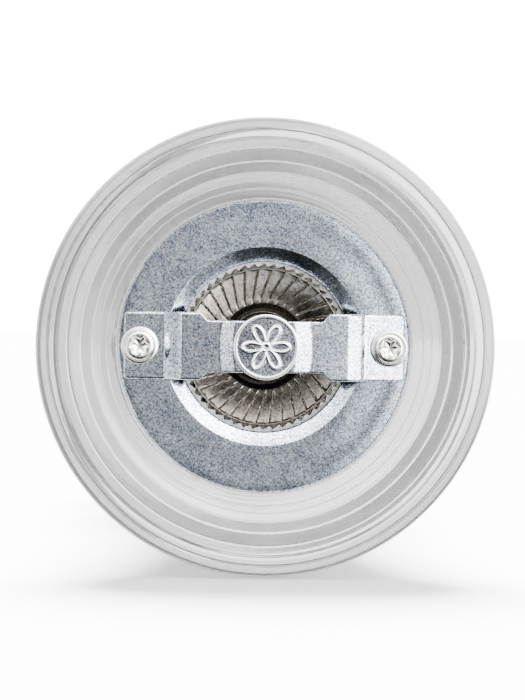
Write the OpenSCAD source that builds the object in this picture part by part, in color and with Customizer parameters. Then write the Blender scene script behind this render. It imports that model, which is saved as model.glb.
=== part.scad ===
// Clear pepper mill with a turning head, a steel grinding mechanism and an adjusting knob.
// Frame: +Z runs up the mill's axis, and the origin is the centre of the foot on the table.

/* [Body] */
// Diameter of the foot
base_d = 58; // [54:0.5:72]
// Height of the lower body, up to the joint with the head
body_h = 112; // [90:1:150]
// Height of the foot's straight band
foot_h = 10; // [8:0.5:14]
// Rounding where the foot meets the table
foot_round = 2.2; // [1:0.1:3]
// Step from the foot band in to the body
foot_step = 2.6; // [1.8:0.1:4]
// Narrowest diameter of the body
waist_d = 38; // [36:0.5:46]
// Outer diameter at the joint with the head
neck_d = 44; // [42:0.5:52]
// Bore that holds the peppercorns
hopper_d = 29; // [24:0.5:34]
// Depth of the plate's face above the table
recess_depth = 7.2; // [6.6:0.1:9]

/* [Head] */
// Height of the clear head above the joint
head_h = 50; // [42:1:64]
// Widest diameter of the head
head_d = 46; // [40:0.5:56]
// Narrowest diameter of the head
head_waist_d = 30; // [26:0.5:36]
// Length of the spigot that turns in the body
spigot_l = 8; // [6:0.5:12]
// Diameter of the ferrule under the knob
ferrule_d = 18.8; // [16:0.2:24]
// Thickness of the ferrule
ferrule_t = 1.4; // [1:0.1:2]
// Diameter of the knob
knob_d = 17; // [14:0.5:22]
// Height of the knob
knob_h = 15.5; // [13:0.5:20]
// Thickness of the slip washer in the joint
washer_t = 0.6; // [0.4:0.1:1]

/* [Grinding wheels] */
// Largest diameter of the grinding cone
cone_d = 20.2; // [17:0.2:25]
// Height of the grinding cone's toothed part
cone_h = 7.4; // [6:0.2:9]
// Height of the fine teeth on both wheels
fine_h = 3; // [2.4:0.1:3.4]
// Radial gap between the wheels at the coarse setting
grind_gap = 0.35; // [0.3:0.05:0.5]
// Depth of the ring's fine teeth
ring_tooth = 0.45; // [0.3:0.05:0.6]
// Wall of the grinding ring behind its teeth
ring_wall = 1.9; // [1.4:0.1:2.6]
// Height of the grinding ring
ring_h = 8; // [7:0.2:10]
// How far the knob can raise the cone
adjust_travel = 0.8; // [0.4:0.1:0.8]

/* [Shaft] */
// Width across the flats of the square shaft
shaft_w = 5; // [4:0.1:6]
// Diameter of the foot button
button_d = 8.3; // [7.4:0.1:10.6]
// Thickness of the foot button
button_t = 1.3; // [1:0.1:1.6]
// Wire diameter of the spring
spring_wire = 0.7; // [0.5:0.05:0.9]
// Length of the spring at the coarse setting
spring_l = 7; // [6:0.5:9]

/* [Plate and bridge] */
// Thickness of the base plate
plate_t = 0.8; // [0.6:0.1:1.2]
// How far the plate is drawn in around its hole
plate_draw = 1.4; // [1:0.1:2]
// Width of the bridge at its ends
bridge_w = 8.6; // [7:0.1:11]
// Width of the bridge over the cone
bridge_mid_w = 6.8; // [6.2:0.1:8]
// Thickness of the bridge
bridge_t = 1.1; // [0.9:0.1:1.4]
// How far the bridge stands off the plate
bridge_rise = 1.8; // [1.4:0.1:1.9]
// Height of the boss that carries the shaft
boss_rise = 0.6; // [0.3:0.1:0.8]
// Diameter of the screws' shanks
screw_d = 2.4; // [2:0.1:3]
// Diameter of the screws' heads
screw_head_d = 4.8; // [4.2:0.1:5.6]
// Length of the screws' shanks
screw_l = 9; // [7:0.5:12]

/* [Clearances] */
// Radial running clearance of turning fits
run_clear = 0.05; // [0.03:0.01:0.1]
// Radial clearance of parts dropped into a seat
seat_clear = 0.1; // [0.05:0.05:0.2]
// Radial clearance of the spigot in the body
spigot_clear = 0.2; // [0.1:0.05:0.4]
// Radial clearance of threads and snap rings
thread_fit = 0.02; // [0.01:0.01:0.05]
// Axial gap of faces that slide past each other
face_gap = 0.1; // [0.05:0.05:0.2]

/* [Hidden] */
$fn = 96;

ring_teeth = 52;
cone_teeth = 36;
coarse_teeth = 9;
fine_slope = 0.34;          // radius lost for each millimetre of height, in the fine teeth
fine_twist = 8;
coarse_twist = 70;
cone_tooth = 0.35;
flutes = 36;
flute_skew = 14;
flute_depth = 0.25;
flute_side = flute_depth * sqrt(2);
dish_rise = 1.6;

// Radii of the wheels, from the cone outwards
cone_r = cone_d / 2;
ring_tip_r = cone_r + grind_gap;
ring_root_r = ring_tip_r + ring_tooth;
ring_r = ring_root_r + ring_wall;
ring_throat_r = ring_tip_r - fine_slope * fine_h;
cone_mid_r = cone_r - fine_slope * fine_h;

// Plate, bridge and screws, from the plate's hole outwards
plate_hole_r = ring_root_r + 0.3;
plate_lip_w = 0.4;
plate_slope_w = 1;
joggle_w = 1.6;
joggle_r = plate_hole_r;
screw_head_r = screw_head_d / 2;
screw_x = joggle_r + joggle_w + screw_head_r + 0.75;
plate_r = screw_x + screw_head_r + 0.35;
bridge_end_r = plate_r - 0.6;
screw_head_h = 1.5;
washer_hole_r = screw_d / 2 + seat_clear;

// Shaft: a square rod with a round journal below and a thread above
shaft_corner_r = shaft_w / sqrt(2);
journal_r = (shaft_w - 0.2) / 2;
thread_r = (shaft_w - 0.2) / 2;
groove_r = journal_r - 0.4;
square_clear = 0.1;
hub_r = shaft_corner_r + 1.6;
clip_r = shaft_corner_r + 0.5;
clip_t = 0.6;
boss_top_r = journal_r + 2.2;
boss_r = boss_top_r + 1.8;
spring_r = shaft_corner_r + 0.35 + spring_wire / 2;
spring_turns = 5;
spring_washer_t = 0.5;
guide_t = 1;
guide_w = 6;
guide_eye_r = spring_r + spring_wire / 2 + 1.2;

// Heights, from the table upwards
plate_z = recess_depth;
seat_z = plate_z + plate_t;
ring_z = plate_z + plate_draw + plate_t;
flange_z = plate_z - bridge_t;
bridge_z = flange_z - bridge_rise;
boss_z = bridge_z - boss_rise;
button_top_z = boss_z - adjust_travel - 2 * face_gap;
button_z = button_top_z - button_t;
clip_z = boss_z + bridge_t + face_gap;
hub_z = clip_z + clip_t;
cone_z = ring_z - 0.2;
cone_top_z = cone_z + cone_h;
thrust_z = cone_top_z;
spring_z = thrust_z + spring_washer_t;
guide_top_z = spring_z + spring_l;
guide_foot_z = ring_z + ring_h;
shoulder_z = guide_foot_z + guide_t;
lip_z = shoulder_z + 1.2;

// Body bore and recess
hopper_r = hopper_d / 2;
pocket_r = ring_r + seat_clear;
guide_foot_r = pocket_r - seat_clear;
guide_in_r = guide_foot_r - 2;
lip_r = guide_in_r + 0.4;
funnel_top_z = lip_z + max(2, abs(hopper_r - lip_r));
recess_r = plate_r + seat_clear;
key_w = 2;
key_h = 4;
key_rise = 2;
key_out = 0.8;
pilot_r = screw_d / 2 + thread_fit;

// Head
joint_z = body_h + washer_t;
spigot_r = hopper_r - spigot_clear;
spigot_z = joint_z - spigot_l;
drive_t = 1.2;
drive_r = spigot_r - 4;
head_bore_r = shaft_corner_r + 0.6;
drive_pcd_r = (drive_r + shaft_corner_r) / 2 + 0.3;
drive_screw_r = 1.1;
drive_screw_l = 6;
drive_screw_count = 3;
head_top_z = joint_z + head_h;
ferrule_r = ferrule_d / 2;
ferrule_hole_r = thread_r + 0.4;
knob_washer_t = 0.5;
knob_z = head_top_z + ferrule_t + knob_washer_t;
insert_r = thread_r + 2;
insert_l = 7;
disc_r = knob_d / 4;
disc_t = 1;
square_top_z = head_top_z - adjust_travel - 1;
thread_top_z = knob_z + insert_l + 1;

// Outer edges of the clear parts
edge_round = 1.2;
band_round = 1.4;
waist_at = 0.7;             // height of the body's waist, as a share of the body
neck_band = 5;
mouth_chamfer = 0.6;
mouth_steps = [             // the recess's mouth: distance out of the recess, and height
    [0, plate_z - 1.2], [2.5, 2.2], [2.5, 1.5], [3.2, 1.5], [3.2, 0.6], [3.8, 0]];
collar_h = 4.8;
collar_step = 2.6;
head_waist_at = 0.24;       // heights on the head, as shares of the head
head_widest_at = 0.62;
spigot_chamfer = 0.5;

// Small parts
socket_depth = 0.9;
socket_lobe = 0.24;         // radius of a socket's lobe, as a share of the socket
tip_h = 1;
guide_leg_in = 0.6;         // how far the guide's legs stand inside its ring
guide_leg_foot = 1.6;
guide_leg_t = 0.5;
slot_w = 0.4;
slot_l = 2.2;
slot_depth = 0.5;
button_round = 0.5;
button_dish = 0.25;
petal_h = 0.4;
ferrule_round = 0.5;
ferrule_flat = 2.6;         // how far the ferrule's flat top stands inside its edge
thread_chamfer = 0.6;
knob_foot_h = 1.2;
knob_round = 0.5;
knob_crown = 1.2;
disc_chamfer = 0.3;

// Points of a circular arc about c, from angle a to angle b
function arc(c, r, a, b, n = 8) =
    [for (i = [0:n]) c + r * [cos(a + (b - a) * i / n), sin(a + (b - a) * i / n)]];

// Arc from p, where the outline runs straight up, to q
function swell(p, q, n = 12) =
    let (dr = p[0] - q[0], dz = q[1] - p[1], r = (dz * dz + dr * dr) / (2 * dr))
    let (end = atan2(dz / r, 1 - dr / r))
    [for (i = [0:n]) p + r * [cos(end * i / n) - 1, sin(end * i / n)]];

// Two arcs that leave p and reach q running straight up; share is the first arc's share of the bend
function s_curve(p, q, share, n = 8) =
    let (dr = q[0] - p[0], dz = q[1] - p[1], both = (dz * dz + dr * dr) / (2 * abs(dr)))
    let (side = sign(dr), r1 = share * both, r2 = both - r1, end = asin(dz / both))
    concat([for (i = [0:n]) p + r1 * [side * (1 - cos(end * i / n)), sin(end * i / n)]],
           [for (i = [n - 1:-1:0]) q - r2 * [side * (1 - cos(end * i / n)), sin(end * i / n)]]);

function reversed(points) = [for (i = [len(points) - 1:-1:0]) points[i]];

// Outline of a toothed wheel: count teeth, flat on the outside, between radii root and tip
function toothed(count, root, tip) =
    [for (i = [0:count - 1], k = [0:3])
        let (a = 360 / count * (i + [0, 0.25, 0.5, 0.9][k]), r = [root, tip, tip, root][k])
        r * [cos(a), sin(a)]];

module tube(outer, inner, h) {
    difference() {
        cylinder(r = outer, h = h);
        translate([0, 0, -1]) cylinder(r = inner, h = h + 2);
    }
}

// A square hole or rod along Z, standing on z = 0
module square_rod(w, h) {
    translate([-w / 2, -w / 2, 0]) cube([w, w, h]);
}

module at_screws() {
    for (side = [-1, 1]) translate([side * screw_x, 0, 0]) children();
}

// Keys on the grinding ring that stop it turning, and, grown and taller, their slots in the body
module ring_keys(grow, h) {
    reach = ring_r + key_out + grow;
    intersection() {
        translate([-key_w / 2 - grow, -reach, 0]) cube([key_w + 2 * grow, 2 * reach, h]);
        tube(reach, ring_r - 0.6, h);
    }
}

// Clear lower body: a thick shell with the hopper above and the mechanism's recess below
module body_shell() {
    base_r = base_d / 2;
    neck_r = neck_d / 2;
    waist = [waist_d / 2, body_h * waist_at];
    shoulder = [base_r - foot_step, foot_h];
    neck = [neck_r, body_h - neck_band];
    outside = concat(
        arc([base_r - foot_round, foot_round], foot_round, -90, 0),
        arc([base_r - band_round, foot_h - band_round], band_round, 0, 90),
        reversed(swell(waist, shoulder)),
        s_curve(waist, neck, 0.55),
        arc([neck_r - edge_round, body_h - edge_round], edge_round, 0, 90));
    inside = [
        [hopper_r + mouth_chamfer, body_h],
        [hopper_r, body_h - mouth_chamfer],
        [hopper_r, funnel_top_z],
        [lip_r, lip_z],
        [lip_r, shoulder_z],
        [pocket_r, shoulder_z],
        [pocket_r, seat_z],
        [recess_r, seat_z],
        for (step = mouth_steps) [recess_r + step[0], step[1]]];
    color("whitesmoke", 0.4)
    difference() {
        rotate_extrude() polygon(concat(outside, inside));
        at_screws() translate([0, 0, seat_z - 1]) cylinder(r = pilot_r, h = screw_l);
        translate([0, 0, seat_z - 1])
            ring_keys(seat_clear, ring_z + key_rise + key_h + seat_clear - seat_z + 1);
    }
}

// Stamped steel plate, drawn in around its hole to carry the grinding ring
module base_plate() {
    lip_z0 = plate_z + plate_draw;
    color("lightsteelblue")
    difference() {
        rotate_extrude() polygon([
            [plate_hole_r, lip_z0],
            [plate_hole_r + plate_lip_w, lip_z0],
            [plate_hole_r + plate_lip_w + plate_slope_w, plate_z],
            [plate_r, plate_z],
            [plate_r, seat_z],
            [plate_hole_r + plate_lip_w + plate_slope_w + 0.3, seat_z],
            [plate_hole_r + plate_lip_w + 0.3, lip_z0 + plate_t],
            [plate_hole_r, lip_z0 + plate_t]]);
        at_screws() translate([0, 0, plate_z - 1]) cylinder(r = washer_hole_r, h = plate_t + 2);
    }
}

// Fixed wheel: fine teeth below, a flared throat with coarse ribs above
module grinding_ring() {
    fine_end = ring_throat_r / ring_tip_r;
    flare_h = ring_h - fine_h;
    flare_r = ring_r - 1.2;
    color("gray")
    difference() {
        union() {
            translate([0, 0, ring_z]) cylinder(r = ring_r, h = ring_h);
            translate([0, 0, ring_z + key_rise]) ring_keys(0, key_h);
        }
        translate([0, 0, ring_z - 0.01])
            linear_extrude(height = fine_h + 0.02, scale = fine_end, twist = fine_twist, slices = 3)
                polygon(toothed(ring_teeth, ring_tip_r, ring_root_r));
        translate([0, 0, ring_z + fine_h])
            linear_extrude(height = flare_h + 0.01, scale = flare_r / ring_throat_r,
                           twist = -coarse_twist / 4, slices = 5)
                polygon(toothed(coarse_teeth, ring_throat_r, ring_throat_r * 1.06));
    }
}

// Turning wheel: fine teeth below, coarse helical teeth above, a dished and fluted underside
module grinding_cone() {
    coarse_h = cone_h - fine_h;
    top_r = shaft_corner_r + 1;
    rim_r = cone_r - 0.5;
    dish_in = [hub_r - 0.4, cone_z + dish_rise];
    flute_run = rim_r - dish_in[0];
    color("gray")
    difference() {
        union() {
            difference() {
                translate([0, 0, cone_z])
                    linear_extrude(height = fine_h, scale = cone_mid_r / cone_r,
                                   twist = fine_twist, slices = 3)
                        polygon(toothed(cone_teeth, cone_r - cone_tooth, cone_r));
                rotate_extrude() polygon([[0, cone_z - 1], [rim_r, cone_z - 1], [rim_r, cone_z],
                                          dish_in, [0, dish_in[1]]]);
                for (i = [0:flutes - 1]) rotate(360 / flutes * i)
                    translate([rim_r, 0, cone_z]) rotate([0, atan(dish_rise / flute_run), 0])
                        rotate(flute_skew)
                            translate([-0.9 * flute_run, 0, -flute_depth]) rotate([45, 0, 0])
                                cube([0.8 * flute_run, flute_side, flute_side]);
            }
            translate([0, 0, cone_z + fine_h])
                linear_extrude(height = coarse_h, scale = top_r / (cone_mid_r - cone_tooth),
                               twist = -coarse_twist, slices = 10)
                    polygon(toothed(coarse_teeth, cone_mid_r - 1.6, cone_mid_r - cone_tooth));
            translate([0, 0, hub_z]) cylinder(r = hub_r, h = cone_z + dish_rise + 0.5 - hub_z);
        }
        translate([0, 0, hub_z - 1]) square_rod(shaft_w + 2 * square_clear, cone_top_z - hub_z + 3);
    }
}

// Outline of the bridge seen from below: wide ends, a narrow middle, rounded shoulders
module bridge_outline() {
    narrow_x = cone_r * 0.72;
    shoulder_run = (bridge_w - bridge_mid_w) / 2;
    corners = [[1, 1], [-1, 1], [-1, -1], [1, -1]];
    side = [[bridge_end_r + 1, bridge_w / 2], [narrow_x + shoulder_run, bridge_w / 2],
            [narrow_x, bridge_mid_w / 2]];
    intersection() {
        circle(r = bridge_end_r);
        polygon([for (c = corners, k = [0:2])
            let (p = side[c[0] * c[1] > 0 ? k : 2 - k])
            [c[0] * p[0], c[1] * p[1]]]);
    }
}

// Steel strap with a joggle at each side and a raised boss that carries the shaft
module support_bridge() {
    out_x = joggle_r + joggle_w;
    low = [[joggle_r, bridge_z], [out_x, flange_z], [bridge_end_r + 1, flange_z]];
    high = [for (p = reversed(low)) p + [0, bridge_t]];
    half = concat(low, high);
    color("silver")
    difference() {
        union() {
            intersection() {
                translate([0, bridge_w, 0]) rotate([90, 0, 0]) linear_extrude(height = 2 * bridge_w)
                    polygon(concat(half, reversed([for (p = half) [-p[0], p[1]]])));
                linear_extrude(height = seat_z) bridge_outline();
            }
            intersection() {
                translate([0, 0, boss_z])
                    cylinder(r1 = boss_top_r, r2 = boss_r, h = boss_rise);
                translate([-boss_r, -bridge_mid_w / 2, 0]) cube([2 * boss_r, bridge_mid_w, seat_z]);
            }
        }
        translate([0, 0, boss_z + bridge_t])
            cylinder(r1 = boss_top_r - 0.3, r2 = boss_r - 0.3, h = boss_rise + 0.01);
        translate([0, 0, boss_z - 1]) cylinder(r = journal_r + run_clear, h = bridge_t + 4);
        at_screws() translate([0, 0, flange_z - 1]) cylinder(r = washer_hole_r, h = bridge_t + 2);
    }
}

// Two pan-head screws with six-lobed sockets
module bridge_screws() {
    socket_r = screw_head_r * 0.5;
    color("gainsboro")
    at_screws() difference() {
        union() {
            translate([0, 0, flange_z - screw_head_h])
                rotate_extrude() polygon(concat(
                    [[0, 0]],
                    arc([screw_head_r - 1, 1], 1, -90, 0),
                    [[screw_head_r, screw_head_h], [0, screw_head_h]]));
            translate([0, 0, flange_z]) cylinder(r = screw_d / 2, h = screw_l - bridge_t);
            translate([0, 0, flange_z + screw_l - bridge_t])
                cylinder(r1 = screw_d / 2, r2 = screw_d / 8, h = tip_h);
        }
        translate([0, 0, flange_z - screw_head_h - 1]) {
            cylinder(r = socket_r * 0.8, h = socket_depth + 1);
            for (i = [0:5]) rotate(60 * i) translate([socket_r * 0.8, 0, 0])
                cylinder(r = socket_r * socket_lobe, h = socket_depth + 1);
        }
    }
}

// Stirrup above the wheels: it centres the shaft and takes the spring's push
module spring_guide() {
    leg_in = guide_eye_r;
    leg_out = guide_in_r - guide_leg_in;
    foot_out = leg_out + guide_leg_foot;
    side = [[0, guide_top_z], [leg_in, guide_top_z], [leg_out, guide_foot_z],
            [foot_out, guide_foot_z], [foot_out, shoulder_z], [leg_out + guide_leg_t, shoulder_z],
            [leg_in + guide_leg_t, guide_top_z + guide_t],
            [0, guide_top_z + guide_t]];
    color("silver")
    difference() {
        union() {
            translate([0, 0, guide_foot_z]) tube(guide_foot_r, guide_in_r, guide_t);
            intersection() {
                for (turn = [0, 180]) rotate(turn)
                    translate([0, guide_w / 2, 0]) rotate([90, 0, 0]) linear_extrude(height = guide_w)
                        polygon(side);
                translate([0, 0, guide_foot_z])
                    cylinder(r = guide_foot_r - 0.3, h = guide_top_z + guide_t - guide_foot_z);
            }
            translate([0, 0, guide_top_z]) cylinder(r = guide_eye_r, h = guide_t);
        }
        translate([0, 0, guide_top_z - 1]) cylinder(r = shaft_corner_r + run_clear + 0.1, h = guide_t + 2);
    }
}

// Points of ring i of the spring's wire; the end turns lie flat
function spring_ring(i, steps, sides) =
    let (t = i / steps, a = 360 * spring_turns * t, flat = 0.9 / spring_turns)
    let (rise = min(max((t - flat / 2) / (1 - flat), 0), 1))
    let (z = spring_wire / 2 + (spring_l - spring_wire) * rise + 0.02 * sign(rise - 0.5))
    [for (k = [0:sides - 1])
        let (b = 360 * k / sides, r = spring_r + spring_wire / 2 * cos(b))
        [r * cos(a), r * sin(a), z + spring_wire / 2 * 0.96 * sin(b)]];

// Compression spring that keeps the cone down
module cone_spring() {
    steps = 20 * spring_turns;
    sides = 8;
    points = [for (i = [0:steps]) each spring_ring(i, steps, sides)];
    sheath = [for (i = [0:steps - 1], k = [0:sides - 1])
        let (a = i * sides + k, b = i * sides + (k + 1) % sides)
        [a, b, b + sides, a + sides]];
    color("silver")
    translate([0, 0, spring_z])
        polyhedron(points, concat([[for (k = [sides - 1:-1:0]) k]], sheath,
                                  [[for (k = [0:sides - 1]) steps * sides + k]]), convexity = 10);
}

// Washer between the spring, which stands still, and the turning cone
module thrust_washer() {
    color("silver")
    translate([0, 0, thrust_z])
        tube(spring_r + spring_wire / 2 + 0.4, shaft_corner_r + 0.15, spring_washer_t);
}

// Snap ring in the journal's groove, under the cone's hub
module retaining_clip() {
    color("dimgray")
    translate([0, 0, clip_z]) difference() {
        tube(clip_r, groove_r + thread_fit, clip_t);
        translate([0, -groove_r * 0.7, -1]) cube([clip_r + 1, groove_r * 1.4, clip_t + 2]);
    }
}

// Square rod with a grooved journal below and the knob's thread above
module drive_shaft() {
    color("silver") union() {
        translate([0, 0, button_top_z]) cylinder(r = journal_r, h = clip_z - button_top_z);
        translate([0, 0, clip_z]) cylinder(r = groove_r, h = clip_t);
        translate([0, 0, hub_z]) square_rod(shaft_w, square_top_z - hub_z);
        translate([0, 0, square_top_z])
            cylinder(r = thread_r, h = thread_top_z - square_top_z - thread_chamfer);
        translate([0, 0, thread_top_z - thread_chamfer])
            cylinder(r1 = thread_r, r2 = thread_r - thread_chamfer, h = thread_chamfer);
    }
}

// Round foot riveted to the journal, with a plain raised ring and a six-petalled rosette
module shaft_button() {
    r = button_d / 2;
    petal_r = r * 0.2;
    color("slategray")
    translate([0, 0, button_z]) {
        rotate_extrude() polygon(concat(
            [[0, button_dish], [r - 2 * button_round, button_dish], [r - 1.8 * button_round, 0]],
            arc([r - button_round, button_round], button_round, -90, 0),
            [[r, button_t], [0, button_t]]));
        for (i = [0:5]) rotate(60 * i)
            translate([r * 0.42, 0, button_dish - 0.2]) cylinder(r = petal_r, h = petal_h);
    }
}

// Slip washer between the body and the head
module neck_washer() {
    color("white")
    translate([0, 0, body_h]) tube(neck_d / 2 - 1.5, hopper_r + 0.8, washer_t);
}

// Clear head: collar, waist and bulb, with a spigot that turns in the body
module head_shell() {
    collar_r = neck_d / 2;
    head_r = head_d / 2;
    top_r = ferrule_r + 0.4;
    waist = [head_waist_d / 2, head_waist_at * head_h];
    widest = [head_r, head_widest_at * head_h];
    outside = concat(
        arc([collar_r - edge_round, edge_round], edge_round, -90, 0),
        arc([collar_r - edge_round, collar_h - edge_round], edge_round, 0, 90),
        reversed(swell(waist, [collar_r - collar_step, collar_h])),
        s_curve(waist, widest, 0.3),
        swell(widest, [top_r, head_h]));
    color("whitesmoke", 0.4)
    difference() {
        translate([0, 0, joint_z]) rotate_extrude() polygon(concat(
            [[0, -spigot_l], [spigot_r - spigot_chamfer, -spigot_l],
             [spigot_r, spigot_chamfer - spigot_l], [spigot_r, 0]],
            outside, [[0, head_h]]));
        translate([0, 0, spigot_z - 1]) cylinder(r = head_bore_r, h = spigot_l + head_h + 2);
        translate([0, 0, spigot_z - 1]) cylinder(r = drive_r + seat_clear, h = drive_t + 1);
        at_drive_screws() translate([0, 0, spigot_z]) cylinder(r = drive_screw_r + thread_fit,
                                                               h = drive_screw_l + 1);
    }
}

module at_drive_screws() {
    for (i = [0:drive_screw_count - 1]) rotate(360 / drive_screw_count * i + 90)
        translate([drive_pcd_r, 0, 0]) children();
}

// Steel plate in the head: its square hole turns the shaft
module drive_plate() {
    color("silver")
    difference() {
        translate([0, 0, spigot_z]) cylinder(r = drive_r, h = drive_t);
        translate([0, 0, spigot_z - 1]) square_rod(shaft_w + 2 * square_clear, drive_t + 2);
        at_drive_screws() translate([0, 0, spigot_z - 1])
            cylinder(r = drive_screw_r + seat_clear, h = drive_t + 2);
    }
}

module drive_plate_screws() {
    head_h1 = 0.9;
    color("gainsboro")
    at_drive_screws() difference() {
        union() {
            translate([0, 0, spigot_z - head_h1])
                cylinder(r1 = drive_screw_r * 1.4, r2 = drive_screw_r * 1.8, h = head_h1);
            translate([0, 0, spigot_z]) cylinder(r = drive_screw_r, h = drive_screw_l);
        }
        for (turn = [0, 90]) rotate(turn)
            translate([-slot_l / 2, -slot_w / 2, spigot_z - head_h1 - 1])
                cube([slot_l, slot_w, slot_depth + 1]);
    }
}

// Domed steel seat for the knob
module top_ferrule() {
    color("silver")
    translate([0, 0, head_top_z]) rotate_extrude() polygon(concat(
        [[ferrule_hole_r, 0], [ferrule_r, 0]],
        arc([ferrule_r - ferrule_round, ferrule_round], ferrule_round, 0, 60, 4),
        [[ferrule_r - ferrule_flat, ferrule_t], [ferrule_hole_r, ferrule_t]]));
}

// Washer that the knob turns on
module knob_washer() {
    color("white")
    translate([0, 0, knob_z - knob_washer_t]) tube(insert_r + 1.4, ferrule_hole_r, knob_washer_t);
}

// Turned steel knob, bored from below for its threaded insert
module adjusting_knob() {
    knob_r = knob_d / 2;
    base_r = insert_r + 2;
    widest = [knob_r, 0.56 * knob_h];
    neck = [insert_r + 1, 0.17 * knob_h];
    outside = concat(
        [[0, 0]],
        arc([base_r - knob_round, knob_round], knob_round, -90, 0, 4),
        [[base_r, knob_foot_h]],
        s_curve(neck, widest, 0.3),
        swell(widest, [disc_r + knob_crown, knob_h]));
    color("silver")
    translate([0, 0, knob_z]) difference() {
        rotate_extrude() polygon(concat(outside, [[0, knob_h]]));
        translate([0, 0, -1]) cylinder(r = insert_r, h = insert_l + 1);
        cylinder(r = thread_r + 0.3, h = thread_top_z - knob_z + adjust_travel + 1);
        translate([0, 0, knob_h - disc_t]) cylinder(r = disc_r + seat_clear, h = disc_t + 1);
    }
}

// Brass bush that carries the knob's thread
module knob_insert() {
    color("goldenrod")
    translate([0, 0, knob_z]) tube(insert_r, thread_r + run_clear, insert_l);
}

// Inlaid disc in the top of the knob
module knob_disc() {
    color("dimgray")
    translate([0, 0, knob_z + knob_h - disc_t]) {
        cylinder(r = disc_r, h = disc_t);
        translate([0, 0, disc_t])
            cylinder(r1 = disc_r, r2 = disc_r - disc_chamfer, h = disc_chamfer);
    }
}

body_shell();
base_plate();
grinding_ring();
support_bridge();
bridge_screws();
spring_guide();
cone_spring();
thrust_washer();
grinding_cone();
retaining_clip();
drive_shaft();
shaft_button();
neck_washer();
head_shell();
drive_plate();
drive_plate_screws();
top_ferrule();
knob_washer();
adjusting_knob();
knob_insert();
knob_disc();
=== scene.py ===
"""A clear pepper mill: its visible pieces, finishes, table, lights and camera."""
import bmesh
import bpy
import numpy as np
from mathutils import Matrix, Vector


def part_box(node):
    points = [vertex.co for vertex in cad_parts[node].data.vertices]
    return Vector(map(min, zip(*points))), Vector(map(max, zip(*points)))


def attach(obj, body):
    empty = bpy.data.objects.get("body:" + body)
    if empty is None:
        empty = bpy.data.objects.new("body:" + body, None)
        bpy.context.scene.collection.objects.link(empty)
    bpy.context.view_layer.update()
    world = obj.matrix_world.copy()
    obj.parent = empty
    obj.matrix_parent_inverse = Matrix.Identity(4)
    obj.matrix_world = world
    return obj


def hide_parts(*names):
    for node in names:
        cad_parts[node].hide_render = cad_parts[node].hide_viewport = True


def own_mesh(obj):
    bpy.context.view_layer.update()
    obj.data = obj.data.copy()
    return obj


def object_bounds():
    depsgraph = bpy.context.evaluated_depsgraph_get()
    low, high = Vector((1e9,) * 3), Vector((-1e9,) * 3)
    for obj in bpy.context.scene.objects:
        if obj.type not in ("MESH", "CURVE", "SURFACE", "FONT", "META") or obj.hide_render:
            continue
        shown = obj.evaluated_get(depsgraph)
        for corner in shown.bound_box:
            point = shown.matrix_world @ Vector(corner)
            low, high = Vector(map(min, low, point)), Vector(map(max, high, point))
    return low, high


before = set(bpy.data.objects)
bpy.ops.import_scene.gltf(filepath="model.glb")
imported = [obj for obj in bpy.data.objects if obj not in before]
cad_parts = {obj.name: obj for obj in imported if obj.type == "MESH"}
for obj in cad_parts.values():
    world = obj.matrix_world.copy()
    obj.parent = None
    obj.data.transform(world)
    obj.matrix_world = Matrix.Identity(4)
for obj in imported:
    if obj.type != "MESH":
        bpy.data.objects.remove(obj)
cad_low, cad_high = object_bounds()

MM = 0.001
TURN = 2 * np.pi


def span(node):
    """Lowest and highest corner of a CAD node, in millimetres."""
    low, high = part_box(node)
    return np.array(low) / MM, np.array(high) / MM


# Places and sizes that the pieces share, in millimetres
foot_r, body_h = span("body_shell")[1][[0, 2]]
plate_z = span("base_plate")[0][2]
plate_r = span("base_plate")[1][0]
ring_z = span("grinding_ring")[0][2]
ring_top_z = span("grinding_ring")[1][2]
ring_r = span("grinding_ring")[1][0]
hub_z = span("grinding_cone")[0][2]
cone_top_z = span("grinding_cone")[1][2]
cone_r = span("grinding_cone")[1][0]
cone_z = ring_z - 0.2
boss_z, bridge_top_z = span("support_bridge")[0][2], span("support_bridge")[1][2]
bridge_end, bridge_half = span("support_bridge")[1][:2]
screw_low, screw_high = span("bridge_screws")
button_low, button_high = span("shaft_button")
shaft_low, shaft_high = span("drive_shaft")
spring_low, spring_high = span("cone_spring")
washer_z = span("neck_washer")[1][2]
head_low, head_high = span("head_shell")
ferrule_low, ferrule_high = span("top_ferrule")
knob_low, knob_high = span("adjusting_knob")


# ---------------------------------------------------------------- surfaces

def grid(points, closed=False):
    """Vertices and quads of a grid of points, whose last column joins the first. closed also
    joins the last row to the first."""
    rows, columns = points.shape[:2]
    index = np.arange(rows * columns).reshape(rows, columns)
    index = np.hstack([index, index[:, :1]])
    if closed:
        index = np.vstack([index, index[:1]])
    quads = np.stack([index[:-1, :-1], index[:-1, 1:], index[1:, 1:], index[1:, :-1]], axis=-1)
    return points.reshape(-1, 3), quads.reshape(-1, 4)


def turned(radius, height, angle):
    """Points at radius and height for each angle about Z, as one array."""
    radius, height, angle = np.broadcast_arrays(radius, height, angle)
    return np.stack([radius * np.cos(angle), radius * np.sin(angle), height], axis=-1)


def angles(count):
    """One turn in count equal steps, as a row."""
    return np.linspace(0, TURN, count, endpoint=False)[None, :]


def lathe(profile, count=240):
    """Surface of revolution of a profile of (r, z) points. A profile that starts off the axis
    is closed on itself."""
    profile = np.asarray(profile, float)
    return grid(turned(profile[:, :1], profile[:, 1:2], angles(count)),
                closed=profile[0, 0] > 1e-9)


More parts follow.
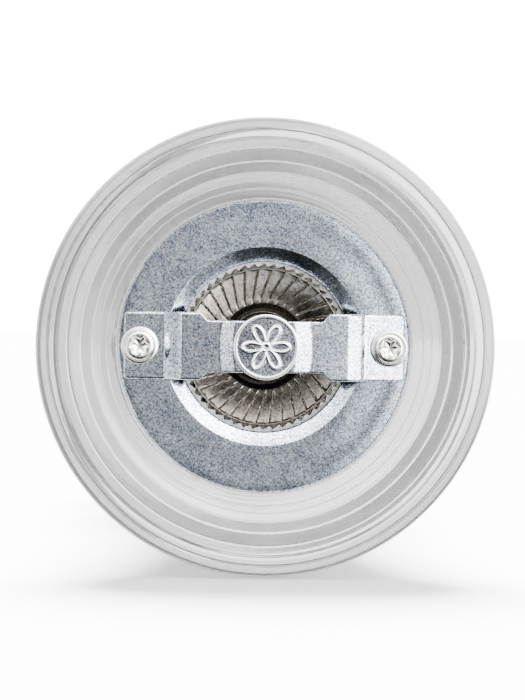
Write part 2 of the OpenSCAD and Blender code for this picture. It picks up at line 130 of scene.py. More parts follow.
def rounded(corners, steps=5):
    """Outline through corners (r, z, radius): an arc of that radius replaces each corner."""
    corners = np.asarray(corners, float)
    line = []
    for i, (r, z, radius) in enumerate(corners):
        here = np.array([r, z])
        back = corners[i - 1, :2] - here
        ahead = corners[(i + 1) % len(corners), :2] - here
        if radius <= 0 or (corners[0, 0] <= 0 and i in (0, len(corners) - 1)):
            line.append(here[None])
            continue
        reach = min(np.hypot(*back), np.hypot(*ahead))
        back, ahead = back / np.hypot(*back), ahead / np.hypot(*ahead)
        half = np.arccos(np.clip(back @ ahead, -1, 1)) / 2
        radius = min(radius, 0.48 * reach * np.tan(half))
        middle = back + ahead
        centre = here + middle / np.hypot(*middle) * radius / np.sin(half)
        first = here + back * radius / np.tan(half) - centre
        last = here + ahead * radius / np.tan(half) - centre
        start = np.arctan2(first[1], first[0])
        sweep = (np.arctan2(last[1], last[0]) - start + np.pi) % TURN - np.pi
        turn = start + sweep * np.linspace(0, 1, steps)
        line.append(centre + radius * np.column_stack([np.cos(turn), np.sin(turn)]))
    return np.vstack(line)


def swell(p, q, steps=28):
    """Arc from p, where the outline runs straight up, to q."""
    p, q = np.array(p, float), np.array(q, float)
    dr, dz = p[0] - q[0], q[1] - p[1]
    radius = (dz * dz + dr * dr) / (2 * dr)
    end = np.arctan2(dz / radius, 1 - dr / radius)
    turn = end * np.linspace(0, 1, steps)
    return p + radius * np.column_stack([np.cos(turn) - 1, np.sin(turn)])


def s_curve(p, q, share, steps=18):
    """Two arcs that leave p and reach q straight up; the first has this share of the radii."""
    p, q = np.array(p, float), np.array(q, float)
    dr, dz = q[0] - p[0], q[1] - p[1]
    both = (dz * dz + dr * dr) / (2 * abs(dr))
    side, end = np.sign(dr), np.arcsin(dz / both)
    first, second = share * both, (1 - share) * both
    turn = end * np.linspace(0, 1, steps)
    lower = p + first * np.column_stack([side * (1 - np.cos(turn)), np.sin(turn)])
    back = turn[::-1][1:]
    upper = q - second * np.column_stack([side * (1 - np.cos(back)), np.sin(back)])
    return np.vstack([lower, upper])


def arc(centre, radius, start, end, steps=8):
    """Arc about a centre between two angles in degrees."""
    turn = np.radians(np.linspace(start, end, steps))
    return np.asarray(centre, float) + radius * np.column_stack([np.cos(turn), np.sin(turn)])


def smooth(x, low, high):
    """0 below low, 1 above high, and a smooth rise between them."""
    t = np.clip((x - low) / (high - low), 0, 1)
    return t * t * (3 - 2 * t)


def piece(name, shapes, body, finish, nodes=(), crease=35):
    """One object from surfaces in millimetres: doubles are merged, faces turned outwards, and
    edges sharper than crease degrees stay sharp."""
    starts = np.cumsum([0] + [len(verts) for verts, _ in shapes[:-1]])
    verts = np.vstack([verts for verts, _ in shapes]) * MM
    quads = np.vstack([quads + start for (_, quads), start in zip(shapes, starts)])
    mesh = bpy.data.meshes.new(name)
    mesh.from_pydata(verts.tolist(), [], quads.tolist())
    work = bmesh.new()
    work.from_mesh(mesh)
    bmesh.ops.remove_doubles(work, verts=work.verts, dist=1e-7)
    bmesh.ops.recalc_face_normals(work, faces=work.faces)
    work.to_mesh(mesh)
    work.free()
    mesh.shade_smooth()
    mesh.set_sharp_from_angle(angle=np.radians(crease))
    made = bpy.data.objects.new(name, mesh)
    bpy.context.scene.collection.objects.link(made)
    mesh.materials.append(finish)
    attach(made, body)
    if nodes:
        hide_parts(*nodes)
    return made


# ---------------------------------------------------------------- finishes

def add(tree, kind, values=None, **settings):
    """A shader node with its settings, and its inputs set to values or linked to outputs."""
    made = tree.nodes.new("ShaderNode" + kind)
    for key, value in settings.items():
        setattr(made, key, value)
    for key, value in (values or {}).items():
        if isinstance(value, bpy.types.NodeSocket):
            tree.links.new(value, made.inputs[key])
        else:
            made.inputs[key].default_value = value
    return made


def ramp(tree, factor, stops):
    """A colour ramp through (place, grey or colour) stops."""
    made = add(tree, "ValToRGB", {0: factor})
    elements = made.color_ramp.elements
    elements[0].position, elements[1].position = stops[0][0], stops[-1][0]
    for place, _ in stops[1:-1]:
        elements.new(place)
    for element, (_, colour) in zip(elements, stops):
        element.color = (*colour, 1) if isinstance(colour, tuple) else (colour,) * 3 + (1,)
    return made.outputs[0]


def effect(name, inputs, outputs):
    """An empty shader node group with named number inputs and outputs."""
    tree = bpy.data.node_groups.new(name, "ShaderNodeTree")
    number = "NodeSocketFloat"
    for key, value in inputs.items():
        made = tree.interface.new_socket(key, in_out="INPUT", socket_type=number)
        made.default_value = value
    for key in outputs:
        tree.interface.new_socket(key, in_out="OUTPUT", socket_type=number)
    given = tree.nodes.new("NodeGroupInput").outputs
    return tree, given, tree.nodes.new("NodeGroupOutput").inputs


def placed(tree, group, **values):
    """An effect group placed in a material, with its own values."""
    made = tree.nodes.new("ShaderNodeGroup")
    made.node_tree = group
    for key, value in values.items():
        made.inputs[key.replace("_", " ")].default_value = value
    return made.outputs


def tumbled_effect():
    """Crystals of tumbled, plated steel: each cell of two small sizes has its own grey, under
    soft clouds, with fine dents."""
    tree, given, out = effect("tumbled grain", {"Scale": 1.0}, ["Grain", "Dents", "Cloud"])
    place = add(tree, "TexCoord").outputs["Object"]
    sizes = [add(tree, "Math", {0: given["Scale"], 1: size}, operation="MULTIPLY").outputs[0]
             for size in (9500.0, 6000.0, 3600.0, 300.0)]
    greys = []
    for size in sizes[:2]:
        cells = add(tree, "TexVoronoi", {"Vector": place, "Scale": size}).outputs["Color"]
        greys.append(add(tree, "SeparateColor", {0: cells}).outputs[0])
    dents = add(tree, "TexNoise", {"Vector": place, "Scale": sizes[2], "Detail": 2.0,
                                   "Roughness": 0.6}).outputs[0]
    clouds = add(tree, "TexNoise", {"Vector": place, "Scale": sizes[3], "Detail": 3.0}).outputs[0]
    mixed = add(tree, "Math", {0: clouds, 1: 0.3, 2: -0.15}, operation="MULTIPLY_ADD").outputs[0]
    large = add(tree, "Math", {0: greys[1], 1: 0.5, 2: mixed}, operation="MULTIPLY_ADD").outputs[0]
    grain = add(tree, "Math", {0: greys[0], 1: 0.5, 2: large}, operation="MULTIPLY_ADD",
                use_clamp=True).outputs[0]
    tree.links.new(grain, out["Grain"])
    tree.links.new(dents, out["Dents"])
    tree.links.new(clouds, out["Cloud"])
    return tree


def turning_effect():
    """Tool marks that run round Z: noise along the radius and the height."""
    tree, given, out = effect("turning marks", {"Scale": 1.0}, ["Marks"])
    place = add(tree, "TexCoord").outputs["Object"]
    apart = add(tree, "SeparateXYZ", {0: place}).outputs
    square = add(tree, "Math", {0: apart[0], 1: apart[0]}, operation="MULTIPLY").outputs[0]
    both = add(tree, "Math", {0: apart[1], 1: apart[1], 2: square},
               operation="MULTIPLY_ADD").outputs[0]
    radius = add(tree, "Math", {0: both}, operation="SQRT").outputs[0]
    line = add(tree, "CombineXYZ", {0: radius, 1: apart[2]}).outputs[0]
    size = add(tree, "Math", {0: given["Scale"], 1: 5000.0}, operation="MULTIPLY").outputs[0]
    marks = add(tree, "TexNoise", {"Vector": line, "Scale": size, "Detail": 2.0}).outputs[0]
    tree.links.new(marks, out["Marks"])
    return tree


def wear_effect():
    """Handling marks: sparse soft patches and fine scratches."""
    tree, given, out = effect("handling", {"Scale": 1.0}, ["Patches", "Scratches"])
    place = add(tree, "TexCoord").outputs["Object"]
    wide = add(tree, "Math", {0: given["Scale"], 1: 90.0}, operation="MULTIPLY").outputs[0]
    fine = add(tree, "Math", {0: given["Scale"], 1: 700.0}, operation="MULTIPLY").outputs[0]
    patches = add(tree, "TexNoise", {"Vector": place, "Scale": wide, "Detail": 4.0}).outputs[0]
    drawn = add(tree, "Mapping", {0: place, "Rotation": (0.4, 0.3, 0.5), "Scale": (1, 0.06, 0.2)})
    scratches = add(tree, "TexNoise", {"Vector": drawn.outputs[0], "Scale": fine,
                                       "Detail": 3.0}).outputs[0]
    tree.links.new(patches, out["Patches"])
    tree.links.new(scratches, out["Scratches"])
    return tree


tumbled, turning, wear = tumbled_effect(), turning_effect(), wear_effect()


def material(name, colour, **values):
    """A material with its Principled shader, and the shader's plain values."""
    made = bpy.data.materials.new(name)
    made.use_nodes = True
    shader = made.node_tree.nodes["Principled BSDF"]
    shader.inputs["Base Color"].default_value = (*colour, 1)
    made.diffuse_color = (*colour, 1)
    for key, value in values.items():
        shader.inputs[key.replace("_", " ")].default_value = value
    return made, made.node_tree, shader


def bumped(tree, shader, height, depth):
    """Feeds a height of this depth in millimetres to the shader's normal."""
    made = add(tree, "Bump", {"Height": height, "Distance": depth * MM, "Strength": 1.0})
    tree.links.new(made.outputs[0], shader.inputs["Normal"])


def tumbled_steel(name, dark, light, scale=1.0, middle=0.5, rough=(0.25, 0.5), depth=0.01,
                  bare=None, hub_shade=None):
    """Plated sheet steel, speckled by tumbling. middle sets how much of it is dark. Between the
    two heights of bare, in millimetres, the raised parts turn to bright metal, partly worn and
    partly a painted highlight, and between the two radii given for the hub a painted shade,
    darkest at the hub, fades out. A colour Mix node takes its colours at sockets 6 and 7, and
    gives its result at 2."""
    made, tree, shader = material(name, light, Metallic=1.0)
    grain = placed(tree, tumbled, Scale=scale)
    half = tuple(0.5 * (a + b) for a, b in zip(dark, light))
    colour = ramp(tree, grain["Grain"], [(0.2, dark), (middle, half), (0.9, light)])
    # Raised parts turn to bright metal: partly wear, partly a painted highlight.
    if bare:
        place = add(tree, "TexCoord").outputs["Object"]
        height = add(tree, "SeparateXYZ", {0: place}).outputs["Z"]
        worn_highlight_mask = add(tree, "MapRange", {0: height, 1: bare[0] * MM, 2: bare[1] * MM}).outputs[0]
        colour = add(tree, "Mix", {0: worn_highlight_mask, 6: colour, 7: (0.9, 0.9, 0.9, 1)},
                     data_type="RGBA").outputs[2]
    # Painted shade: the metal grows darker towards the hub.
    if hub_shade:
        place = add(tree, "TexCoord").outputs["Object"]
        flat = add(tree, "VectorMath", {0: place, 1: (1, 1, 0)}, operation="MULTIPLY").outputs[0]
        radius = add(tree, "VectorMath", {0: flat}, operation="LENGTH").outputs["Value"]
        hub_shade_factor = add(tree, "MapRange", {0: radius, 1: hub_shade[0] * MM, 2: hub_shade[1] * MM,
                                       3: 0.12, 4: 1.0}).outputs[0]
        colour = add(tree, "Mix", {0: 1.0, 6: colour, 7: hub_shade_factor}, data_type="RGBA",
                     blend_type="MULTIPLY").outputs[2]
    tree.links.new(colour, shader.inputs["Base Color"])
    tree.links.new(ramp(tree, grain["Cloud"], [(0.3, rough[0]), (0.7, rough[1])]),
                   shader.inputs["Roughness"])
    bumped(tree, shader, grain["Dents"], depth)
    return made


def turned_metal(name, dark, light, rough=(0.1, 0.25), depth=0.002):
    """Metal turned on a lathe, with fine marks round its axis."""
    made, tree, shader = material(name, light, Metallic=1.0)
    marks = placed(tree, turning, Scale=1.0)["Marks"]
    worn = placed(tree, wear, Scale=1.0)
    tree.links.new(ramp(tree, marks, [(0.3, dark), (0.7, light)]), shader.inputs["Base Color"])
    tree.links.new(ramp(tree, worn["Patches"], [(0.3, rough[0]), (0.7, rough[1])]),
                   shader.inputs["Roughness"])
    bumped(tree, shader, marks, depth)
    return made


def drawn_metal(name, dark, light, rough=(0.2, 0.35)):
    """Drawn or rolled metal, with fine scratches."""
    made, tree, shader = material(name, light, Metallic=1.0)
    worn = placed(tree, wear, Scale=1.5)
    tree.links.new(ramp(tree, worn["Scratches"], [(0.3, dark), (0.7, light)]),
                   shader.inputs["Base Color"])
    tree.links.new(ramp(tree, worn["Patches"], [(0.3, rough[0]), (0.7, rough[1])]),
                   shader.inputs["Roughness"])
    bumped(tree, shader, worn["Scratches"], 0.002)
    return made


def clear_acrylic():
    """Clear acrylic with polishing marks."""
    made, tree, shader = material("clear acrylic", (0.98, 0.98, 0.975), IOR=1.49)
    shader.inputs["Transmission Weight"].default_value = 0.94
    worn = placed(tree, wear, Scale=1.0)
    tree.links.new(ramp(tree, worn["Patches"], [(0.45, 0.02), (0.75, 0.06)]),
                   shader.inputs["Roughness"])
    marks = placed(tree, turning, Scale=0.25)["Marks"]
    bumped(tree, shader, marks, 0.004)
    return made


def natural_nylon():
    """Slightly translucent natural nylon."""
    made, tree, shader = material("natural nylon", (0.78, 0.76, 0.7), IOR=1.53)
    shader.inputs["Subsurface Weight"].default_value = 0.15
    shader.inputs["Subsurface Radius"].default_value = (0.0012, 0.001, 0.0008)
    worn = placed(tree, wear, Scale=2.0)
    warm, pale = (0.72, 0.7, 0.64), (0.82, 0.8, 0.75)
    tree.links.new(ramp(tree, worn["Patches"], [(0.3, warm), (0.7, pale)]),
                   shader.inputs["Base Color"])
    tree.links.new(ramp(tree, worn["Scratches"], [(0.3, 0.4), (0.7, 0.6)]),
                   shader.inputs["Roughness"])
    bumped(tree, shader, worn["Scratches"], 0.004)
    return made


acrylic = clear_acrylic()
nylon = natural_nylon()
plate_steel = tumbled_steel("tumbled plate steel", (0.085, 0.12, 0.205), (0.9, 0.96, 1.0),
                            middle=0.58, rough=(0.09, 0.15), depth=0.0008)
bridge_steel = tumbled_steel("tumbled bridge steel", (0.085, 0.12, 0.2), (0.93, 0.97, 1.0),
                             middle=0.58, rough=(0.1, 0.17), depth=0.0005)
# The button's raised lines and rim turn bright: partly wear, partly a painted highlight.
button_steel = tumbled_steel("tumbled button steel", (0.045, 0.055, 0.08), (0.6, 0.63, 0.7),
                             middle=0.6, rough=(0.14, 0.25), depth=0.002,
                             bare=(button_low[2] + 0.2, button_low[2] + 0.12))
# The wheel gets a painted shade that darkens its metal round the hub.
wheel_steel = tumbled_steel("hardened wheel steel", (0.15, 0.135, 0.115), (0.4, 0.37, 0.33),
                            scale=0.6, rough=(0.25, 0.37), depth=0.003, hub_shade=(4.7, 6.0))
ring_steel = tumbled_steel("ground ring steel", (0.42, 0.41, 0.39), (0.86, 0.85, 0.82),
                           scale=0.6, rough=(0.22, 0.35), depth=0.002)
nickel = turned_metal("bright nickel", (0.66, 0.645, 0.61), (0.86, 0.845, 0.81),
                      rough=(0.08, 0.2))
knob_steel = turned_metal("polished knob steel", (0.5, 0.5, 0.51), (0.66, 0.66, 0.67),
                          rough=(0.06, 0.16), depth=0.001)
brass = turned_metal("machined brass", (0.62, 0.42, 0.16), (0.8, 0.58, 0.26), rough=(0.15, 0.3))
shaft_steel = drawn_metal("drawn shaft steel", (0.2, 0.2, 0.21), (0.42, 0.42, 0.43))
spring_steel = drawn_metal("spring wire steel", (0.25, 0.25, 0.26), (0.45, 0.45, 0.46))
guide_steel = drawn_metal("rolled guide steel", (0.22, 0.23, 0.25), (0.42, 0.43, 0.45),
                          rough=(0.25, 0.4))


# ---------------------------------------------------------------- clear shell and head

def body_outline():
    """Outline of the lower body, from the recess's mouth round the foot and up to the neck,
    then back down the hopper and the mechanism's seats."""
    foot_step, foot_h, waist_r, neck_r = 2.6, 10.0, 19.0, 22.0
    seat_z = plate_z + 0.8
    recess_r = plate_r + 0.1
    shoulder_z = ring_top_z + 1
    lip_r = ring_r - 1.6
    hopper_r = 14.5
    mouth = rounded([
        (recess_r, seat_z, 0), (recess_r, plate_z - 1.4, 0.4), (20.1, 4.9, 0.15),
        (20.2, 4.2, 0.12), (21.0, 3.7, 0.12), (21.1, 2.7, 0.12), (21.9, 2.2, 0.12),
        (22.0, 0.9, 0.15), (23.3, 0.5, 0.3), (23.42, 0.28, 0.1), (24.8, 0.0, 0.1),
        (24.95, 0.14, 0.05), (25.1, 0.0, 0.05), (26.1, 0.0, 0.2), (26.4, 0.22, 0.2),
        (27.3, 0.34, 0.15), (27.45, 0.6, 0.15), (27.7, 0.62, 0)])
    foot = np.vstack([
        arc((foot_r - 1.75, 2.2), 1.75, -82, 0, 10),
        arc((foot_r - 1.4, foot_h - 1.4), 1.4, 0, 90, 10)])
    wall = np.vstack([
        swell((waist_r, body_h * 0.7), (foot_r - foot_step, foot_h))[::-1],
        s_curve((waist_r, body_h * 0.7), (neck_r, body_h - 5), 0.55),
        arc((neck_r - 1.2, body_h - 1.2), 1.2, 0, 90)])
    bore = rounded([
        (neck_r - 3, body_h, 0), (hopper_r + 0.6, body_h, 0.2), (hopper_r, body_h - 0.6, 0.2),
        (hopper_r, shoulder_z + 4.5, 0.5), (lip_r, shoulder_z + 1.2, 0.2),
        (lip_r, shoulder_z, 0), (ring_r + 0.1, shoulder_z, 0), (ring_r + 0.1, seat_z, 0)])
    return np.vstack([mouth, foot, wall, bore])


def head_outline():
    """Outline of the clear head: spigot, collar, waist and bulb, with its bore."""
    joint, top = washer_z, head_high[2]
    height = top - joint
    spigot_r, collar_r, waist_r = 14.3, 22.0, 15.0
    widest = (head_high[0], joint + 0.62 * height)
    waist = (waist_r, joint + 0.24 * height)
    spigot = rounded([(10.4, head_low[2], 0), (spigot_r, head_low[2], 0.5), (spigot_r, joint, 0)])
    outside = np.vstack([
        arc((collar_r - 1.2, joint + 1.2), 1.2, -90, 0),
        arc((collar_r - 1.2, joint + 3.6), 1.2, 0, 90),
        swell(waist, (collar_r - 2.6, joint + 4.8))[::-1],
        s_curve(waist, widest, 0.3, 30),
        swell(widest, (9.8, top), 40)])
    bore = rounded([(4.14, top, 0), (4.14, head_low[2] + 1.2, 0), (10.4, head_low[2] + 1.2, 0)])
    return np.vstack([spigot, outside, bore])


piece("clear_body", [lathe(body_outline(), 256)], "mill", acrylic,
      ["body_shell"], crease=50)
piece("clear_head", [lathe(head_outline(), 256)], "head", acrylic,
      ["head_shell"], crease=50)


# ---------------------------------------------------------------- steel under the foot

def plate_outline():
    """Outline of the base plate: flat at the rim, a low crown, then a cone down to its hole."""
    hole, crest, foot, thick, crown, bend, fall = 10.92, 12.8, 17.0, 0.8, 0.12, 0.4, 22
    top = plate_z - crown
    out = np.linspace(foot, crest, 18)
    rise = crown * 0.5 * (1 - np.cos(np.pi * (foot - out) / (foot - crest)))
    turned_in = arc((crest, top + bend), bend, -90, -90 - fall, 7)[1:]
    edge_z = turned_in[-1, 1] + (turned_in[-1, 0] - hole) * np.tan(np.radians(fall))
    lip = rounded([(*turned_in[-1], 0), (hole, edge_z, 0.25), (hole - 0.05, ring_z, 0)], 7)[1:]
    rim = rounded([(plate_r, plate_z + thick, 0), (plate_r, plate_z, 0.15), (foot, plate_z, 0)])
    under = [(hole + 1.2, ring_z), (crest + 0.6, top + 0.3 + thick), (foot, plate_z + thick)]
    return np.vstack([rim[:-1], np.column_stack([out, plate_z - rise]), turned_in, lip, under])


piece("stamped_plate", [lathe(plate_outline(), 240)], "mill", plate_steel,
      ["base_plate"])


def bridge_surface():
    """The bridge as rounded cross-sections along X. Its half-width narrows over the cone, and
    its height steps down at the joggles and again at the round boss."""
    thick, corner, edge = 1.1, 0.5, 0.24
    narrow, narrow_x, wide_x = 3.3, 7.2, 8.35
    joggle_x, joggle_run, ease = 10.7, 2.1, 0.15
    bow_x, bow_h, bent_x = 10.6, 0.25, 12.4
    boss_r, boss_foot_r, boss_oval = 3.9, 6.0, 0.55
    flange = bridge_top_z - thick
    strap = boss_z + 0.6
    end = bridge_end - 0.15
    x = np.concatenate([[-end], np.linspace(-end + 0.01, -end + corner, 8),
                        np.linspace(-end + corner, end - corner, 300)[1:-1],
                        np.linspace(end - corner, end - 0.01, 8), [end]])
    half = narrow + (bridge_half - narrow) * smooth(np.abs(x), narrow_x, wide_x)
    inset = np.clip(np.abs(x) - end + corner, 0, corner)
    half = half - corner + np.sqrt(np.maximum(corner ** 2 - inset ** 2, 0))
    rim = np.clip(np.abs(x) - end + edge, 0, edge)
    pinch = edge - np.sqrt(np.maximum(edge ** 2 - rim ** 2, 0))
    half[[0, -1]] = 0
    even = np.linspace(-1, 1, 45)
    across = np.sin(even * np.pi / 2) * 0.5 + even * 0.5
    turn = np.linspace(0, np.pi / 2, 5)[1:]
    lower = across * (1 - edge / narrow)
    bulge = np.sin(turn) * edge
    lift = edge * (1 - np.cos(turn))
    side = narrow - edge + bulge
    width = np.concatenate([lower * narrow, side, side[::-1], lower[::-1] * narrow, -side,
                            -side[::-1]])
    rise = np.concatenate([0 * even, lift, thick - lift[::-1], 0 * even + thick, thick - lift,
                           lift[::-1]])
    y = width[None, :] * (half / narrow)[:, None]
    eased = np.linspace(-ease, ease, 9)[:, None]
    down = np.clip((np.abs(x) + eased - joggle_x) / joggle_run, 0, 1).mean(axis=0)
    bow = bow_h * (np.minimum(np.abs(x), bow_x) / bow_x) ** 2
    sunk = np.where(x > 0, 0.35, 0.05)
    bent = np.where(x > 0, 0.13, 0.01) * np.maximum(np.abs(x) - bent_x, 0)
    level = strap + bow * (1 - down) + (flange - strap - sunk) * down + bent
    centre = np.hypot(x[:, None], boss_oval * y)
    boss = (strap - boss_z) * (1 - smooth(centre, boss_r, boss_foot_r))
    middle = level[:, None] - boss + thick / 2
    z = middle + (rise[None, :] - thick / 2) * (1 - pinch / (thick / 2))[:, None]
    return grid(np.stack([np.broadcast_to(x[:, None], y.shape), y, z], axis=-1))


piece("joggled_bridge", [bridge_surface()], "mill", bridge_steel,
      ["support_bridge"], crease=40)


def screw_surface(side):
    """A pan-head screw: a six-lobed socket with a dished floor in a domed head with a flange,
    and a threaded shank."""
    head_r = (screw_high[1] - screw_low[1]) / 2
    x = side * (screw_high[0] - head_r)
    top = screw_low[2]
    under = bridge_top_z - 1.1
    pitch, core, crest = 0.9, 0.95, 0.25
    turn = angles(144)
    socket = 1.1 + 0.17 * np.cos(6 * turn)
    inner = np.array([0, 0.2, 0.5, 0.8, 0.94, 1.0, 1.0, 1.05])[:, None] * socket
    inner_z = top + np.array([0.86, 0.85, 0.8, 0.7, 0.62, 0.5, 0.14, 0.06])[:, None] + 0 * turn
    dome = arc((1.35, top + 0.66), 0.66, -90, -8, 14)
    flange = rounded([(2.0, top + 0.66, 0), (2.03, top + 0.78, 0.1), (head_r, top + 0.86, 0.25),
                      (head_r, under, 0.15), (1.2, under, 0)], 7)
    head = np.vstack([dome, flange])
    outer = head[:, :1] + 0 * turn
    outer_z = head[:, 1:2] + 0 * turn
    z = np.linspace(under, screw_high[2] - 1.0, 90)[:, None]
    ridge = np.abs(((z / pitch - turn / TURN) % 1) - 0.5) * 2
    shank = core + crest * ridge ** 2 * smooth(z, under + 0.6, under + 1.4)
    tip = np.array([0.8, 0.0])[:, None] + 0 * turn
    tip_z = screw_high[2] - np.array([0.7, 0.0])[:, None] + 0 * turn
    r = np.vstack([inner, outer, shank, tip])
    height = np.vstack([inner_z, outer_z, z + 0 * turn, tip_z])
    points = turned(r, height, turn)
    points[..., 0] += x
    return grid(points)


for side, name in ((-1, "left_screw"), (1, "right_screw")):
    piece(name, [screw_surface(side)], "mill", nickel, ["bridge_screws"], crease=40)


def button_surface():
    """The shaft's foot button: a rosette in raised lines on a flat face, and a rounded rim."""
    r_max = button_high[0]
    top, back = button_low[2], button_high[2]
    petal_r, line_w, eye_r, sunk = 2.95, 0.16, 0.45, 0.28
    turn = angles(360)
    r = np.linspace(0, r_max - 0.55, 90)[:, None]
    petal = petal_r * np.abs(np.cos(3 * turn))
    slope = 3 * petal_r * np.abs(np.sin(3 * turn)) / np.maximum(r, 0.3)
    gap = np.abs(r - petal) / np.sqrt(1 + slope ** 2)
    line = np.exp(-(gap / line_w) ** 2) * smooth(r, 0.35, 0.8)
    line = np.maximum(line, np.exp(-((r - eye_r) / line_w) ** 2))
    face = top + sunk - 0.2 * line
    rim = rounded([(r_max - 0.5, top + sunk, 0), (r_max - 0.42, top, 0.1), (r_max, top, 0.35),
                   (r_max, back, 0.15), (0, back, 0)], 6)[1:]
    radius = np.vstack([r + 0 * turn, rim[:, :1] + 0 * turn])
    height = np.vstack([face, rim[:, 1:2] + 0 * turn])
    return grid(turned(radius, height, turn))


piece("rosette_button", [button_surface()], "spindle", button_steel,
      ["shaft_button"], crease=45)


# ---------------------------------------------------------------- grinding wheels

def saw(phase, rise=0.25):
    """A sawtooth from 0 to 1: up over the rise, then down over the rest of each turn."""
    t = phase % 1
    return np.where(t < rise, t / rise, (1 - t) / (1 - rise))


def ring_surface():
    """The fixed wheel: a flared throat with fine teeth at its mouth and coarse ribs above."""
    teeth, ribs, mouth_h = 52, 9, 3
    turn = angles(teeth * 14)
    tip, root, throat = cone_r + 0.2, cone_r + 0.66, cone_r - 0.67
    mouth = np.linspace(0, mouth_h, 7)[:, None]
    fine = saw(teeth * (turn / TURN) - mouth * 0.3, 0.3)
    fine_r = root - (root - tip) * fine - (tip - throat) * mouth / mouth_h
    flare = np.linspace(0.02, 1, 12)[:, None]
    rib = saw(ribs * (turn / TURN) - flare * 0.45, 0.2)
    flare_r = throat + 0.35 + (ring_r - 1.3 - throat) * flare - 0.5 * rib * (1 - flare)
    outside = rounded([(ring_r, ring_top_z, 0.2), (ring_r, ring_z, 0.15), (root, ring_z, 0)])
    flare_z = ring_z + mouth_h + (ring_top_z - ring_z - mouth_h) * flare
    r = np.vstack([fine_r, flare_r, outside[:-1, :1] + 0 * turn,
                   np.full_like(turn, root + 0.12)])
    z = np.vstack([ring_z + mouth + 0 * turn, flare_z + 0 * turn,
                   outside[:-1, 1:2] + 0 * turn, np.full_like(turn, ring_z)])
    return grid(turned(r, z, turn), closed=True)


piece("toothed_ring", [ring_surface()], "mill", ring_steel, ["grinding_ring"],
      crease=30)


def cone_surface():
    """The turning wheel: a fluted dish underneath, fine teeth round its rim, coarse helical
    teeth above and a smooth hub that hangs in the middle."""
    flutes, coarse_teeth, fine_h = 36, 9, 3
    groove_h, petal_h, dish_h = 0.34, 0.2, 1.5
    turn = angles(flutes * 24)
    rim, dish_r = cone_r - 0.18, 5.6
    hub = rounded([(3.0, hub_z, 0), (4.15, hub_z, 0.3), (4.3, cone_z + 2.6, 0.4),
                   (5.0, cone_z + 2.5, 0.3), (dish_r, cone_z + 1.75, 0)], 8)[:-1]
    r = np.linspace(dish_r, rim, 30)[:, None]
    out = (r - dish_r) / (rim - dish_r)
    swirl = np.radians(14) * (rim - r) / r
    phase = (flutes * ((turn + swirl) / TURN)) % 1
    groove = np.maximum(0, 1 - np.abs(phase - 0.5) / 0.11)
    petal = (phase - 0.5) % 1
    dish = cone_z + 0.2 + dish_h * (1 - out) ** 1.15
    ends = smooth(out, 0.0, 0.25) * (1 - smooth(out, 0.97, 1.0))
    dish = dish + ends * (groove_h * groove + petal_h * petal)
    edge = np.vstack([[(rim + 0.01, cone_z + 0.1)],
                      arc((cone_r - 0.08, cone_z + 0.08), 0.08, 190, 360, 9)])
    up = np.linspace(0.3, fine_h, 6)[:, None]
    fine = saw(flutes * (turn / TURN) - up * 0.25, 0.3)
    fine_r = cone_r - 0.34 * up - 0.35 * (1 - fine) * smooth(up, 0.2, 0.6)
    high = np.linspace(0.02, 1, 16)[:, None]
    coarse = saw(coarse_teeth * (turn / TURN) + high * 1.75, 0.2)
    coarse_z = cone_z + fine_h + (cone_top_z - cone_z - fine_h) * high
    base = cone_r - 1.4
    coarse_r = base + (4.6 - base) * high - 1.2 * (1 - coarse) * (1 - 0.6 * high)
    bore = np.full_like(turn, 3.0)
    r_all = np.vstack([hub[:, :1] + 0 * turn, r + 0 * turn, edge[:, :1] + 0 * turn, fine_r,
                       coarse_r, bore])
    z_all = np.vstack([hub[:, 1:2] + 0 * turn, dish, edge[:, 1:2] + 0 * turn,
                       cone_z + up + 0 * turn, coarse_z + 0 * turn,
                       np.full_like(turn, cone_top_z)])
    return grid(turned(r_all, z_all, turn), closed=True)


piece("fluted_cone", [cone_surface()], "spindle", wheel_steel, ["grinding_cone"],
      crease=30)


# ---------------------------------------------------------------- shaft, spring and knob

def shaft_surface():
    """The shaft: a round journal with a groove, a square rod with eased edges, and a thread."""
    turn = angles(160)
    half = shaft_high[0]
    journal = half - 0.1
    groove_z, pitch = boss_z + 1.2, 0.8
    low = rounded([(0, shaft_low[2], 0), (journal, shaft_low[2], 0.1), (journal, groove_z, 0),
                   (journal - 0.4, groove_z, 0), (journal - 0.4, groove_z + 0.6, 0)])
    square = half / np.maximum(np.abs(np.cos(turn)), np.abs(np.sin(turn)))
    square = np.minimum(square, half * np.sqrt(2) - 0.25)
    rod_z = np.array([hub_z, hub_z + 0.01, head_high[2] - 1.8])[:, None]
    z = np.linspace(head_high[2] - 1.75, shaft_high[2] - 0.5, 90)[:, None]
    ridge = np.abs(((z / pitch - turn / TURN) % 1) - 0.5) * 2
    thread = journal - 0.45 * (1 - ridge)
    end = np.array([journal - 0.6, 0.0])[:, None] + 0 * turn
    r = np.vstack([low[:, :1] + 0 * turn, np.repeat(square, 3, axis=0), thread, end])
    height = np.vstack([low[:, 1:2] + 0 * turn, rod_z + 0 * turn, z + 0 * turn,
                        np.full_like(end, shaft_high[2])])
    return grid(turned(r, height, turn))


piece("square_shaft", [shaft_surface()], "spindle", shaft_steel, ["drive_shaft"],
      crease=30)


def spring_surface():
    """The spring: a round wire along a helix whose end turns lie flat."""
    coils, wire = 5, 0.35
    t = np.linspace(0, 1, coils * 60)[:, None]
    flat = 0.9 / coils
    rise = np.clip((t - flat / 2) / (1 - flat), 0, 1)
    low, high = spring_low[2] + wire, spring_high[2] - wire
    round_wire = angles(16)
    centre_r = spring_high[0] - wire
    radius = centre_r + wire * np.cos(round_wire)
    height = low + (high - low) * rise + wire * np.sin(round_wire)
    body = turned(radius, height, TURN * coils * t)
    caps = body[[0, -1]].mean(axis=1, keepdims=True)
    caps = np.broadcast_to(caps, (2, body.shape[1], 3))
    return grid(np.concatenate([caps[:1], body, caps[1:]]))


coil = piece("wire_spring", [spring_surface()], "mill", spring_steel,
             ["cone_spring"])
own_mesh(coil)


